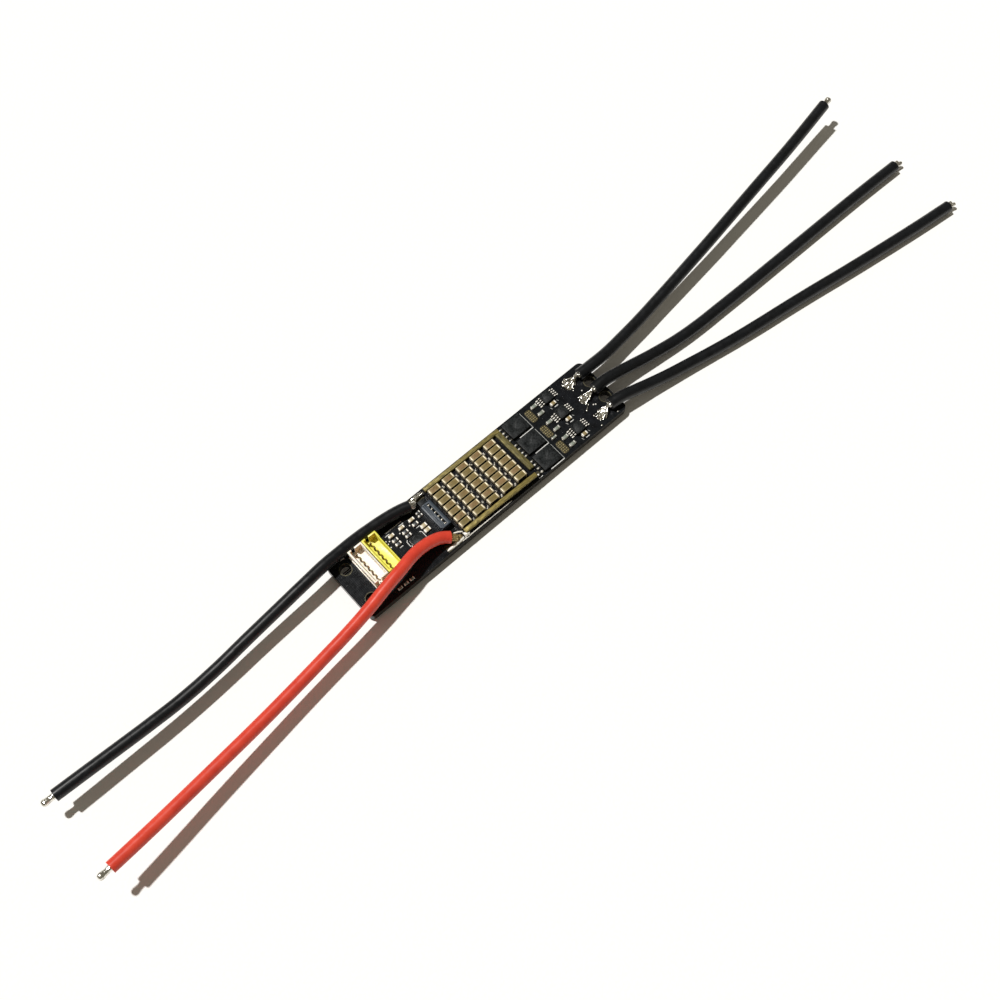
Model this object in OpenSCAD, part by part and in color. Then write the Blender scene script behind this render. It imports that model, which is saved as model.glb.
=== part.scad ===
// Electronic speed controller for a brushless motor: a long bare circuit board with
// a bank of ceramic capacitors between bus bars, three power stages, two signal
// sockets, two supply leads at one end and three motor leads at the other.
// Millimetres, +Z up, +X towards the motor leads. The origin lies below the middle
// of the board, on the surface that the parts of its underside stand on.

/* [Main board] */
// Length of the main board along X
board_l = 84; // [84:0.5:90]
// Width of the main board along Y
board_w = 17.8; // [17.4:0.1:19]
// Thickness of the main board
board_t = 2; // [1.6:0.1:2.4]
// Radius of the board's corners
board_corner_r = 1.5; // [0.5:0.1:2.5]

/* [Mounting holes] */
// Diameter of the four holes, a free fit for an M2.5 screw
hole_d = 2.9; // [2.2:0.1:3]
// Distance from the signal end of the board to its two holes
signal_hole_inset = 3.3; // [2.5:0.1:3.8]
// Spacing of the two holes at the signal end
signal_hole_pitch = 9.8; // [8:0.1:12]
// Distance from the motor end of the board to its two holes
motor_hole_inset = 2.2; // [2.2:0.1:2.6]
// Spacing of the two holes at the motor end
motor_hole_pitch = 5.8; // [5.7:0.1:6]

/* [Capacitor bank] */
// Length of the capacitor board along X
bank_board_l = 25; // [24.8:0.1:25.4]
// Width of the capacitor board along Y
bank_board_w = 16.2; // [16.2:0.1:17]
// Thickness of the capacitor board
bank_board_t = 1; // [0.8:0.1:1.6]
// Number of capacitors in a column
bank_rows = 7; // [5:1:7]
// Distance between columns
bank_pitch_x = 4.5; // [4.2:0.05:4.55]
// Distance between the capacitors of a column
bank_pitch_y = 1.9; // [1.8:0.05:1.9]
// Length of a capacitor
cap_l = 3.2; // [3:0.1:3.3]
// Width of a capacitor
cap_w = 1.5; // [1.3:0.1:1.6]
// Height of a capacitor
cap_h = 1.6; // [1.2:0.1:2.5]
// Length of a capacitor's metal end
cap_end_l = 0.5; // [0.3:0.1:0.7]

/* [Bus bars] */
// Width of the two long bus bars
bar_w = 1.1; // [0.8:0.1:1.1]
// Width of the bus bar across the end of the bank
end_bar_w = 1.6; // [1:0.1:1.7]
// Height of a bus bar
bar_h = 0.9; // [0.5:0.1:1.2]

/* [Sockets] */
// Length of a signal socket along Y
socket_l = 10.5; // [10.5:0.1:10.8]
// Width of a signal socket along X
socket_w = 4.15; // [4:0.05:4.2]
// Height of a signal socket above the board
socket_h = 4; // [3.6:0.1:4.5]
// Number of contacts in a socket
socket_ways = 6; // [4:1:6]
// Distance between neighbouring contacts
socket_pitch = 1.5; // [1.4:0.05:1.5]

/* [Power stages] */
// Distance between the three power stages along Y
stage_pitch = 5.8; // [5.7:0.05:5.8]
// Length of a transistor's body along X
mosfet_l = 5.8; // [5:0.1:5.8]
// Width of a transistor's body along Y
mosfet_w = 4.9; // [4.6:0.1:5.1]
// Height of a transistor's body, which the board stands on
mosfet_h = 0.8; // [0.8:0.1:1.2]
// Side of a gate driver's square body
driver_side = 3; // [2.6:0.1:3]

/* [Leads] */
// Diameter of a lead over its silicone insulation
lead_d = 3.1; // [2.6:0.1:3.1]
// Diameter of the tinned strands at a lead's ends
core_d = 1.7; // [1.3:0.1:1.9]

/* [Hidden] */
$fn = 32;

// Levels: the board's underside and top, and the capacitor board's top
foil = 0.1;
under_z = mosfet_h + foil;
top_z = under_z + board_t;
bank_z = top_z + bank_board_t;

// Holes
signal_hole_x = -board_l / 2 + signal_hole_inset;
motor_hole_x = board_l / 2 - motor_hole_inset;

// Capacitor bank
bank_columns = 5;
bank_board_x = 0.4;
bank_x = -0.7;
bank_solder_r = 0.3;
// How far a capacitor's metal end stands proud of its body
end_proud = 0.03;

// Bus bars
bar_y = 7.5;
bar_start_x = -11.6;
bar_end_x = 12;
positive_bar_l = 23;
positive_bar_skew = -0.9;
end_bar_l = 12.8;

// Sockets
signal_socket_x = -34.2;
telemetry_socket_x = -29.9;
socket_y = 1.3;
socket_wall = 0.45;
socket_floor = 1.2;
notch_x = -0.6;
notch_w = 0.9;
contact_x = -0.5;
contact_l = 0.5;
contact_w = 0.4;
contact_below_rim = 0.9;

// Header
header_x = -13.75;
header_y = 0.5;
header_l = 8;
header_w = 2.9;
header_h = 2.2;
header_slot_x = 0.35;
header_slot_w = 0.6;
header_slot_end = 0.5;
header_floor = 0.6;
header_pin = 0.3;
header_ways = 6;
header_pitch = 1.25;

// Control chips
microcontroller_at = [-20.9, -1.1];
chip_side = 3.2;
microcontroller_h = 0.8;
diode_at = [-13.9, 5.55];
diode_l = 2.2;
diode_w = 1.8;
diode_h = 1;
regulator_x = -33;
regulator_l = 4.9;
regulator_w = 3.9;
regulator_lead = [0.4, 0.8, 0.5];

// Power stages
stage_y = -0.3;
mosfet_x = 17.1;
mosfet_shift = 0.3;
mosfet_lead = [1, 0.5, 0.3];
heat_tab_inset = 0.45;
lead_gap = 1.27;
pad_x = 22.1;
pad_l = 2;
pad_w = 3.9;
pad_r = 0.7;
driver_x = 28.4;
driver_shift = 1.2;
driver_h = 1.1;
driver_lead_gap = 0.65;
driver_lead_w = 0.3;
driver_lead_h = 0.35;
driver_leads_l = [1.3, 0.7];
joint_x = 35.3;

// Chip parts: [x, y, length along X, width along Y]
chip_h = 0.6;
chip_end_share = 0.22;
control_capacitors = [
    [-25, 4.1, 1.6, 0.8], [-21.8, 4.1, 1.6, 0.8], [-18.65, 4.1, 1.6, 0.8],
    [-17.4, 0.9, 1.7, 1], [-17.4, -0.5, 1.7, 1],
];
control_resistors = [
    [-25, 2.6, 1.6, 0.8], [-25, 1.4, 1.6, 0.8], [-21.8, 2.6, 1.6, 0.8],
    [-21.8, 1.4, 1.6, 0.8], [-18.65, 2.6, 1.6, 0.8],
    [-16.3, 4.5, 1.2, 0.6], [-16.3, 3.5, 1.2, 0.6],
    [-32, -7.7, 1.2, 0.6], [-30.2, -7.7, 1.2, 0.6], [-28.4, -7.7, 1.2, 0.6],
    [22.3, -2.8, 1.5, 0.6],
];
stage_capacitor = [28.6, -1.1, 1.6, 0.9];
stage_resistors = [[24.4, 1.5, 1.8, 0.9], [24.5, -1.1, 1.8, 0.9]];

// Motor joints: [radius, height] up a cone of solder
cone_profile = [[0, 0], [1.9, 0], [1.7, 0.4], [1.3, 1.1], [1, 1.7], [0.6, 2.2], [0, 2.4]];

// Supply joints: the pads at the board's edges, and the bare strands that reach them
supply_pad_x = -14.9;
supply_pad_y = 7.55;
supply_pad_l = 5;
supply_pad_w = 2;
mound_feet_x = 1.5;
mound_feet_y = 7.75;
mound_foot_r = 0.7;
mound_foot_h = 0.6;
positive_core_l = 1.8;
negative_core_l = 1.2;

// Leads: centre line of the insulation from its joint to its free end
route_a = [
    [38.5, 5.6, 4.5], [43, 5.5, 4.5], [48, 5.6, 4.3], [54, 6.2, 4.1],
    [61, 7, 4.1], [68, 8, 4.2], [75, 9, 4.5], [83, 10.2, 4.9],
    [91, 11.4, 5.3], [99, 12.7, 5.7], [107, 14, 6.1], [115, 15.3, 6.5],
    [123, 16.6, 6.8], [131, 18, 7.1], [138, 19.3, 7.5], [145, 20.6, 8],
];
route_b = [
    [38.5, 0, 4.5], [42, 0, 4.5], [46, -0.4, 4.1], [50.5, -1, 3.4],
    [55, -1.7, 2.8], [60, -2.4, 2.3], [66, -3.1, 1.9], [73, -3.5, 1.7],
    [81, -3.6, 1.6], [90, -3.7, 1.6], [99.5, -3.7, 1.6], [109, -3.7, 1.6],
    [119, -3.7, 1.6], [129, -3.7, 1.6], [139, -3.8, 1.6], [148.5, -4, 1.6],
];
route_c = [
    [38.5, -5.8, 4.5], [42, -6.2, 4.5], [46.5, -7.1, 3.8], [51, -8, 3],
    [56, -9, 2.4], [62, -10.1, 2], [69, -11.4, 1.7], [77, -12.8, 1.6],
    [85, -14, 1.6], [94, -15.2, 1.6], [103, -16.5, 1.6], [112, -17.9, 1.6],
    [121, -19.2, 1.6], [130.5, -20.5, 1.6], [140, -21.7, 1.6], [149, -22.7, 1.6],
];
route_positive = [
    [-14.9, -6.2, 4.5], [-16.7, -5.1, 5.1], [-18.7, -4.6, 5.8], [-21.2, -4.4, 6.5],
    [-24.4, -4.6, 7.2], [-30, -5.8, 7.8], [-35.5, -6.8, 7.6], [-41, -7.9, 7.2],
    [-48, -9, 6.8], [-57, -10.1, 6.5], [-67, -11.3, 6.5], [-78, -12.6, 6.9],
    [-89, -13.8, 7.6], [-99, -14.9, 8.4], [-110, -16.1, 9.5], [-120.3, -17.1, 10.6],
];
route_negative = [
    [-16.9, 6.6, 4.6], [-19.6, 7.3, 4.7], [-23.6, 7.9, 4.9], [-28, 8.2, 5.2],
    [-32.5, 8.3, 5.6], [-37.4, 8.1, 6.1], [-42, 7.9, 6.4], [-48, 7.4, 6.4],
    [-57, 6.7, 6], [-67, 5.9, 5.6], [-77, 5, 5.3], [-87, 4.5, 5.4],
    [-96, 4.5, 5.9], [-105, 4.7, 6.4], [-113, 4.9, 6.9], [-121, 5.1, 7.3],
];
tip_l_a = 2.7;
tip_l_b = 2.5;
tip_l_c = 2.3;
tip_l_positive = 3.4;
tip_l_negative = 3.3;

// ---- helpers ----

// Rectangle with round corners, centred, extruded from z = 0
module rounded_plate(l, w, r, h) {
    linear_extrude(h) union() {
        square([l - 2 * r, w], center = true);
        square([l, w - 2 * r], center = true);
        for (x = [-1, 1], y = [-1, 1])
            translate([x * (l / 2 - r), y * (w / 2 - r)]) circle(r);
    }
}

// Block centred in X and Y, standing on z = 0
module block(l, w, h) {
    translate([-l / 2, -w / 2, 0]) cube([l, w, h]);
}

// The y of power stage 1, 2 or 3, where stage 1 is the +Y one
function stage_at(n) = stage_y + (2 - n) * stage_pitch;
function mosfet_y(n) = stage_at(n) + mosfet_shift;

// The four-hole drilling through the board
module drilling() {
    for (side = [-1, 1]) {
        translate([signal_hole_x, side * signal_hole_pitch / 2, 0])
            cylinder(d = hole_d, h = 3 * board_t, center = true);
        translate([motor_hole_x, side * motor_hole_pitch / 2, 0])
            cylinder(d = hole_d, h = 3 * board_t, center = true);
    }
}

function unit(v) = v / norm(v);

// Direction of a route at point i
function heading(route, i) =
    unit(route[min(i + 1, len(route) - 1)] - route[max(i - 1, 0)]);

// Corner j of the ring of a tube of radius r at point i of a route
function ring_corner(route, i, j, r, sides) =
    let (
        ahead = heading(route, i),
        across = unit(cross([0, 0, 1], ahead)),
        up = cross(ahead, across),
        turn = 360 * j / sides
    )
    route[i] + r * (cos(turn) * across + sin(turn) * up);

// Solid tube along a route, with flat ends square to it
module swept_tube(route, d, sides = 8) {
    rings = len(route);
    corners = [
        for (i = [0:rings - 1], j = [0:sides - 1]) ring_corner(route, i, j, d / 2, sides)
    ];
    walls = [
        for (i = [0:rings - 2], j = [0:sides - 1])
            let (k = (j + 1) % sides, a = i * sides, b = a + sides)
                each [[a + j, b + j, b + k], [a + j, b + k, a + k]]
    ];
    start_cap = [for (j = [0:sides - 1]) j];
    end_cap = [for (j = [sides - 1:-1:0]) (rings - 1) * sides + j];
    polyhedron(points = corners, faces = concat([start_cap], walls, [end_cap]), convexity = 8);
}

// Turns +Z to a direction and moves the origin to a point
module aim(point, direction) {
    translate(point)
        rotate([0, acos(direction.z / norm(direction)), atan2(direction.y, direction.x)])
            children();
}

// Tinned strands past the free end of a lead, with a round blob at their tip
module tinned_tip(route, length) {
    last = len(route) - 1;
    color("silver") aim(route[last], route[last] - route[last - 1]) {
        cylinder(d = core_d, h = length - core_d / 2);
        translate([0, 0, length - core_d / 2]) sphere(d = core_d);
    }
}

// Bare strands between a lead's insulation and its joint
module bare_core(route, length) {
    aim(route[0], route[0] - route[1]) cylinder(d = core_d, h = length);
}

// ---- boards ----

module main_board() {
    color("#15171a") difference() {
        translate([0, 0, under_z]) rounded_plate(board_l, board_w, board_corner_r, board_t);
        translate([0, 0, under_z + board_t / 2]) drilling();
    }
}

module capacitor_board() {
    color("#20242b") translate([bank_board_x, 0, top_z]) block(bank_board_l, bank_board_w, bank_board_t);
}

module supply_pads() {
    color("#b8a46a") for (side = [-1, 1])
        translate([supply_pad_x, side * supply_pad_y, top_z]) block(supply_pad_l, supply_pad_w, foil);
}

module phase_pads() {
    color("#a08a48") for (n = [1:3])
        translate([pad_x, stage_at(n), top_z]) rounded_plate(pad_l, pad_w, pad_r, foil);
}

// ---- capacitor bank ----

function column_x(n) = bank_x + (n - (bank_columns + 1) / 2) * bank_pitch_x;
function row_y(k) = (k - (bank_rows - 1) / 2) * bank_pitch_y;

module capacitor_column(n) {
    color("#8f7a54") for (k = [0:bank_rows - 1])
        translate([column_x(n), row_y(k), bank_z]) block(cap_l - 2 * cap_end_l, cap_w, cap_h);
}

module capacitor_ends(n) {
    color("#e8e2d0") for (k = [0:bank_rows - 1], side = [-1, 1])
        translate([column_x(n) + side * (cap_l - cap_end_l) / 2, row_y(k), bank_z])
            block(cap_end_l, cap_w + 2 * end_proud, cap_h + end_proud);
}

// Solder bumps in the lanes between the columns
module bank_solder() {
    color("silver") for (n = [1:bank_columns - 1], k = [0:bank_rows - 1])
        translate([column_x(n) + bank_pitch_x / 2, row_y(k) - bank_pitch_y / 3, bank_z])
            cylinder(r1 = bank_solder_r, r2 = bank_solder_r / 2, h = bank_solder_r);
}

// ---- bus bars ----

module bus_bar_negative() {
    color("#a8924a") translate([bar_start_x, bar_y - bar_w / 2, bank_z])
        cube([bar_end_x + end_bar_w / 2 - bar_start_x, bar_w, bar_h]);
}

module bus_bar_end() {
    color("#a8924a") translate([bar_end_x - end_bar_w / 2, bar_y - bar_w / 2 - end_bar_l, bank_z])
        cube([end_bar_w, end_bar_l, bar_h]);
}

module bus_bar_positive() {
    color("#a8924a") translate([bar_start_x + 0.3, -bar_y + 0.2, bank_z]) rotate([0, 0, positive_bar_skew])
        translate([0, -bar_w / 2, 0]) cube([positive_bar_l, bar_w, bar_h]);
}

// ---- sockets and header ----

// Open-topped housing with a keying notch through each end wall
module socket_housing() {
    difference() {
        block(socket_w, socket_l, socket_h);
        translate([0, 0, socket_floor])
            block(socket_w - 2 * socket_wall, socket_l - 2 * socket_wall, socket_h);
        translate([notch_x, 0, socket_floor]) block(notch_w, socket_l + 1, socket_h);
    }
}

// A row of flat contacts standing on the floor of a housing
module socket_contacts() {
    for (k = [0:socket_ways - 1])
        translate([contact_x, (k - (socket_ways - 1) / 2) * socket_pitch, socket_floor])
            block(contact_l, contact_w, socket_h - socket_floor - contact_below_rim);
}

module signal_socket() {
    color("#efe6d4") translate([signal_socket_x, socket_y, top_z]) socket_housing();
}

module signal_contacts() {
    color("#c9b48a") translate([signal_socket_x, socket_y, top_z]) socket_contacts();
}

module telemetry_socket() {
    color("#e9e24e") translate([telemetry_socket_x, socket_y, top_z]) socket_housing();
}

module telemetry_contacts() {
    color("#c9b48a") translate([telemetry_socket_x, socket_y, top_z]) socket_contacts();
}

module programming_header() {
    color("#2b3440") translate([header_x, header_y, top_z]) difference() {
        block(header_w, header_l, header_h);
        translate([header_slot_x, 0, header_floor])
            block(header_slot_w, header_l - 2 * header_slot_end, header_h);
    }
}

module header_pins() {
    color("silver") for (k = [0:header_ways - 1])
        translate([header_x + header_slot_x, header_y + (k - (header_ways - 1) / 2) * header_pitch,
            top_z + header_floor]) block(header_pin, header_pin, header_h - header_floor - 0.1);
}

// ---- control parts ----

module microcontroller() {
    color("#3b3f43") translate([each microcontroller_at, top_z])
        block(chip_side, chip_side, microcontroller_h);
}

module transient_diode() {
    color("#1a1c1f") translate([each diode_at, top_z]) block(diode_l, diode_w, diode_h);
}

module voltage_regulator() {
    color("#202226") translate([regulator_x, 0, 0]) block(regulator_l, regulator_w, under_z);
}

module regulator_leads() {
    color("silver") for (side = [-1, 1], k = [0:3])
        translate([regulator_x + (k - 1.5) * lead_gap,
            side * (regulator_w + regulator_lead.y) / 2, under_z - regulator_lead.z])
                block(regulator_lead.x, regulator_lead.y, regulator_lead.z);
}

// ---- power stages ----

module mosfet_body() {
    color("#2d3136") block(mosfet_l, mosfet_w, mosfet_h);
}

module high_side_mosfet(n) {
    translate([mosfet_x, mosfet_y(n), top_z + foil]) mosfet_body();
}

module low_side_mosfet(n) {
    translate([mosfet_x, mosfet_y(n), 0]) mosfet_body();
}

// Leads and heat tab of the three transistors on one face of the board
module mosfet_lead_set() {
    for (n = [1:3]) translate([mosfet_x, mosfet_y(n), 0]) {
        for (k = [0:3]) translate([-(mosfet_l + mosfet_lead.x) / 2, (k - 1.5) * lead_gap, 0])
            block(mosfet_lead.x, mosfet_lead.y, mosfet_lead.z);
        block(mosfet_l - 2 * heat_tab_inset, mosfet_w - 2 * heat_tab_inset, foil);
    }
}

module mosfet_leads() {
    color("silver") {
        translate([0, 0, top_z]) mosfet_lead_set();
        translate([0, 0, under_z]) mirror([0, 0, 1]) mosfet_lead_set();
    }
}

module gate_driver(n) {
    color("#26292e") translate([driver_x, stage_at(n) + driver_shift, top_z])
        block(driver_side, driver_side, driver_h);
}

module gate_driver_leads() {
    color("silver") for (n = [1:3], k = [0:3])
        translate([driver_x, stage_at(n) + driver_shift + (k - 1.5) * driver_lead_gap, top_z]) {
            for (side = [0, 1]) translate([(2 * side - 1) * (driver_side + driver_leads_l[side]) / 2, 0, 0])
                block(driver_leads_l[side], driver_lead_w, driver_lead_h);
        }
}

// ---- chip parts ----

function staged(part, n) = [part[0], part[1] + stage_at(n), part[2], part[3]];
capacitor_list = concat(control_capacitors, [for (n = [1:3]) staged(stage_capacitor, n)]);
resistor_list = concat(control_resistors, [for (n = [1:3], part = stage_resistors) staged(part, n)]);

module chip_body(part) {
    translate([part[0], part[1], top_z]) block(part[2] * (1 - 2 * chip_end_share), part[3], chip_h);
}

module chip_end_pair(part) {
    for (side = [-1, 1])
        translate([part[0] + side * part[2] * (1 - chip_end_share) / 2, part[1], top_z])
            block(part[2] * chip_end_share, part[3], chip_h);
}

module chip_capacitors() {
    color("#b5a482") for (part = capacitor_list) chip_body(part);
}

module chip_resistors() {
    color("#4c5054") for (part = resistor_list) chip_body(part);
}

module chip_ends() {
    color("silver") for (part = concat(capacitor_list, resistor_list)) chip_end_pair(part);
}

// ---- solder joints ----

// Cone of solder under the bare strands of a motor lead
module motor_joint(route) {
    color("silver") {
        translate([joint_x, route[0].y, top_z]) rotate_extrude() polygon(cone_profile);
        bare_core(route, route[0].x - joint_x);
    }
}

// Mound of solder over a supply pad, drawn up round the bare strands
module supply_joint(route, side, core_l) {
    reach = route[0] + core_l * unit(route[0] - route[1]);
    color("silver") {
        hull() {
            translate([reach.x, reach.y, top_z + foil])
                cylinder(d1 = core_d, d2 = core_d / 2, h = reach.z - top_z);
            for (x = [-1, 1]) translate([supply_pad_x + x * mound_feet_x, side * mound_feet_y, top_z + foil])
                cylinder(r1 = mound_foot_r, r2 = mound_foot_r / 2, h = mound_foot_h);
        }
        bare_core(route, core_l);
    }
}

// ---- drawing ----

main_board();
capacitor_board();
bank_solder();
for (n = [1:bank_columns]) {
    capacitor_column(n);
    capacitor_ends(n);
}
bus_bar_negative();
bus_bar_end();
bus_bar_positive();
signal_socket();
signal_contacts();
telemetry_socket();
telemetry_contacts();
programming_header();
header_pins();
microcontroller();
transient_diode();
voltage_regulator();
regulator_leads();
for (n = [1:3]) {
    high_side_mosfet(n);
    low_side_mosfet(n);
    gate_driver(n);
}
mosfet_leads();
gate_driver_leads();
phase_pads();
supply_pads();
chip_capacitors();
chip_resistors();
chip_ends();
motor_joint(route_a);  // solder_a
motor_joint(route_b);  // solder_b
motor_joint(route_c);  // solder_c
supply_joint(route_positive, -1, positive_core_l);  // solder_positive
supply_joint(route_negative, 1, negative_core_l);  // solder_negative
color("#101214") swept_tube(route_a, lead_d);  // lead_a
color("#101214") swept_tube(route_b, lead_d);  // lead_b
color("#101214") swept_tube(route_c, lead_d);  // lead_c
color("#d8402f") swept_tube(route_positive, lead_d);  // lead_positive
color("#101214") swept_tube(route_negative, lead_d);  // lead_negative
tinned_tip(route_a, tip_l_a);  // tip_a
tinned_tip(route_b, tip_l_b);  // tip_b
tinned_tip(route_c, tip_l_c);  // tip_c
tinned_tip(route_positive, tip_l_positive);  // tip_positive
tinned_tip(route_negative, tip_l_negative);  // tip_negative
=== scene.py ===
"""Looks of an electronic speed controller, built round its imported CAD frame.

Meshes are modelled in millimetres in the frame of the CAD part, and scaled to metres when finished.
"""
import math
import random

import bmesh
import bpy
from mathutils import Matrix, Vector, noise


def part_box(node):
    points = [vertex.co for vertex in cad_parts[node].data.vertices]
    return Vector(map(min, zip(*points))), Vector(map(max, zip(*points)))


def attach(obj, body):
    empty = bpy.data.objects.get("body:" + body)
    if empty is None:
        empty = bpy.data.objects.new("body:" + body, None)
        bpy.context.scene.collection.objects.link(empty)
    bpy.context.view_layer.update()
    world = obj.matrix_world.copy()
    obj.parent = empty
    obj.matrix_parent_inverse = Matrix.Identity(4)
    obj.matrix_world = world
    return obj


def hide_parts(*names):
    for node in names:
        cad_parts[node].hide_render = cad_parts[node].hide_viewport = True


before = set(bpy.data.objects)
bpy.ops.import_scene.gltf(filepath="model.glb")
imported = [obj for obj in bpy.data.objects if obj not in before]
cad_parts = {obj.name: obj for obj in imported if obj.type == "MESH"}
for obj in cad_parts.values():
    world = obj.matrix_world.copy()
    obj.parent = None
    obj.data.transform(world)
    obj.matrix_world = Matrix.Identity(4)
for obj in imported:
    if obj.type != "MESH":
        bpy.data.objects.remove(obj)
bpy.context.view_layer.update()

MM = 0.001
BODY = "root"
random.seed(7)


# ---- measures from the frame, in millimetres ----

def span(node):
    """Lowest and highest corner of a CAD node."""
    low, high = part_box(node)
    return low / MM, high / MM


def solids(node):
    """Lowest and highest corner of each separate solid of a CAD node, sorted by place."""
    bm = bmesh.new()
    bm.from_mesh(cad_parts[node].data)
    bmesh.ops.remove_doubles(bm, verts=bm.verts, dist=1e-6)
    left, boxes = set(bm.verts), []
    while left:
        found, todo = [], [left.pop()]
        while todo:
            vert = todo.pop()
            found.append(vert.co / MM)
            near = {edge.other_vert(vert) for edge in vert.link_edges} & left
            left -= near
            todo += near
        low = Vector(min(point[axis] for point in found) for axis in range(3))
        high = Vector(max(point[axis] for point in found) for axis in range(3))
        boxes.append((low, high))
    bm.free()
    return sorted(boxes, key=lambda box: tuple(round(value, 2) for value in box[0]))


def middle(box):
    return (box[0] + box[1]) / 2


BOARD = span("main_board")
UNDER, TOP = BOARD[0].z, BOARD[1].z
BANK_TOP = span("capacitor_board")[1].z
LEAD_D = 3.1
CORE_D = 1.7
SUNK = 0.01  # how far print and copper go into the board they lie on
PRINT_RISE = 0.035
TRACK_RISE = 0.04


# ---- camera, light and floor ----

def add_camera():
    """Looks down from the supply end, 24 degrees off straight down."""
    camera = bpy.data.objects.new("camera", bpy.data.cameras.new("camera"))
    camera.data.sensor_width = 36
    camera.data.lens = 48.18
    forward = Vector((0.2577, 0.3137, -0.9139)).normalized()
    right = forward.cross(Vector((0.6148, 0.6764, 0.4056))).normalized()
    turn = Matrix((right, right.cross(forward), -forward)).transposed()
    camera.matrix_world = turn.to_4x4()
    camera.location = Vector((-83.59, -109.28, 302.66)) * MM
    bpy.context.scene.collection.objects.link(camera)
    bpy.context.scene.camera = camera


def add_lights():
    """A high, fairly small key light from the signal end's +Y side, and a weak even surround."""
    sun = bpy.data.objects.new("key_light", bpy.data.lights.new("key_light", "SUN"))
    sun.data.energy = 3.3
    sun.data.angle = math.radians(2.2)
    sun.data.color = (1.0, 0.985, 0.96)
    sun.rotation_euler = Vector((0.2125, -0.4026, -1)).to_track_quat("-Z", "Y").to_euler()
    bpy.context.scene.collection.objects.link(sun)
    world = bpy.data.worlds.new("surround")
    world.use_nodes = True
    surround = world.node_tree.nodes["Background"].inputs
    surround["Color"].default_value = (1.0, 0.91, 0.72, 1)
    surround["Strength"].default_value = 0.17
    bpy.context.scene.world = world
    bpy.context.scene.view_settings.view_transform = "Standard"


# ---- materials ----

def srgb(red, green, blue):
    """Linear colour of an sRGB one given from 0 to 255."""
    return tuple(((c / 255 + 0.055) / 1.055) ** 2.4 if c > 10 else c / 255 / 12.92
                 for c in (red, green, blue)) + (1,)


class Surface:
    """A procedural material: a Principled shader and the nodes that feed it."""

    def __init__(self, name, **sockets):
        self.material = bpy.data.materials.new(name)
        self.material.use_nodes = True
        self.tree = self.material.node_tree
        self.shader = self.tree.nodes["Principled BSDF"]
        for socket, value in sockets.items():
            self.shader.inputs[socket.replace("_", " ")].default_value = value
        self.place = self.tree.nodes.new("ShaderNodeTexCoord").outputs["Object"]

    def node(self, kind, links=(), **settings):
        """A new node: settings name its attributes or sockets, links are (socket, source) pairs."""
        made = self.tree.nodes.new("ShaderNode" + kind)
        for key, value in settings.items():
            if hasattr(made, key):
                setattr(made, key, value)
            else:
                made.inputs[key.replace("_", " ")].default_value = value
        for socket, source in links:
            self.tree.links.new(source, made.inputs[socket])
        return made

    def grain(self, size_mm, detail=2.0, stretch=(1, 1, 1)):
        """Noise whose features are about size_mm across."""
        moved = self.node("Mapping", [("Vector", self.place)], Scale=stretch).outputs["Vector"]
        noise_node = self.node("TexNoise", [("Vector", moved)], Scale=1 / (size_mm * MM), Detail=detail)
        return noise_node.outputs["Fac"]

    def ramp(self, value, *stops):
        """Colours along a value; stops are (position, colour)."""
        made = self.node("ValToRGB", [("Fac", value)])
        elements = made.color_ramp.elements
        while len(elements) < len(stops):
            elements.new(0.5)
        for element, (position, colour) in zip(elements, stops):
            element.position = position
            element.color = colour
        return made.outputs["Color"]

    def blend(self, share, first, second):
        """Mix of two colours, given as colours or as sources; 6, 7 and 2 are the node's colour sockets."""
        made = self.node("Mix", data_type="RGBA")
        for index, value in ((0, share), (6, first), (7, second)):
            if isinstance(value, bpy.types.NodeSocket):
                self.tree.links.new(value, made.inputs[index])
            else:
                made.inputs[index].default_value = value
        return made.outputs[2]

    def spread(self, value, low, high):
        """Value from 0 to 1 stretched to the range from low to high."""
        return self.node("MapRange", [("Value", value)], From_Min=0.3, From_Max=0.7,
                         To_Min=low, To_Max=high).outputs["Result"]

    def lean(self, axis):
        """The surface normal along one axis."""
        normal = self.node("NewGeometry").outputs["Normal"]
        return self.node("SeparateXYZ", [("Vector", normal)]).outputs[axis]

    def facing_up(self):
        """1 on faces that look up or down, 0 on upright ones."""
        size = self.node("Math", [(0, self.lean("Z"))], operation="ABSOLUTE").outputs[0]
        return self.node("Math", [(0, size)], operation="GREATER_THAN").outputs[0]

    def feed(self, socket, source):
        self.tree.links.new(source, self.shader.inputs[socket])

    def bump(self, *layers):
        """Bumps of (height source, depth in mm), one on top of the other."""
        normal = None
        for source, depth in layers:
            links = [("Height", source)] + ([("Normal", normal)] if normal else [])
            normal = self.node("Bump", links, Distance=depth * MM).outputs["Normal"]
        self.feed("Normal", normal)
        return self.material


def scaled(tone, factor):
    """Linear colour of an sRGB tone made darker or lighter."""
    return srgb(*(min(c * factor, 255) for c in tone))


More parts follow.
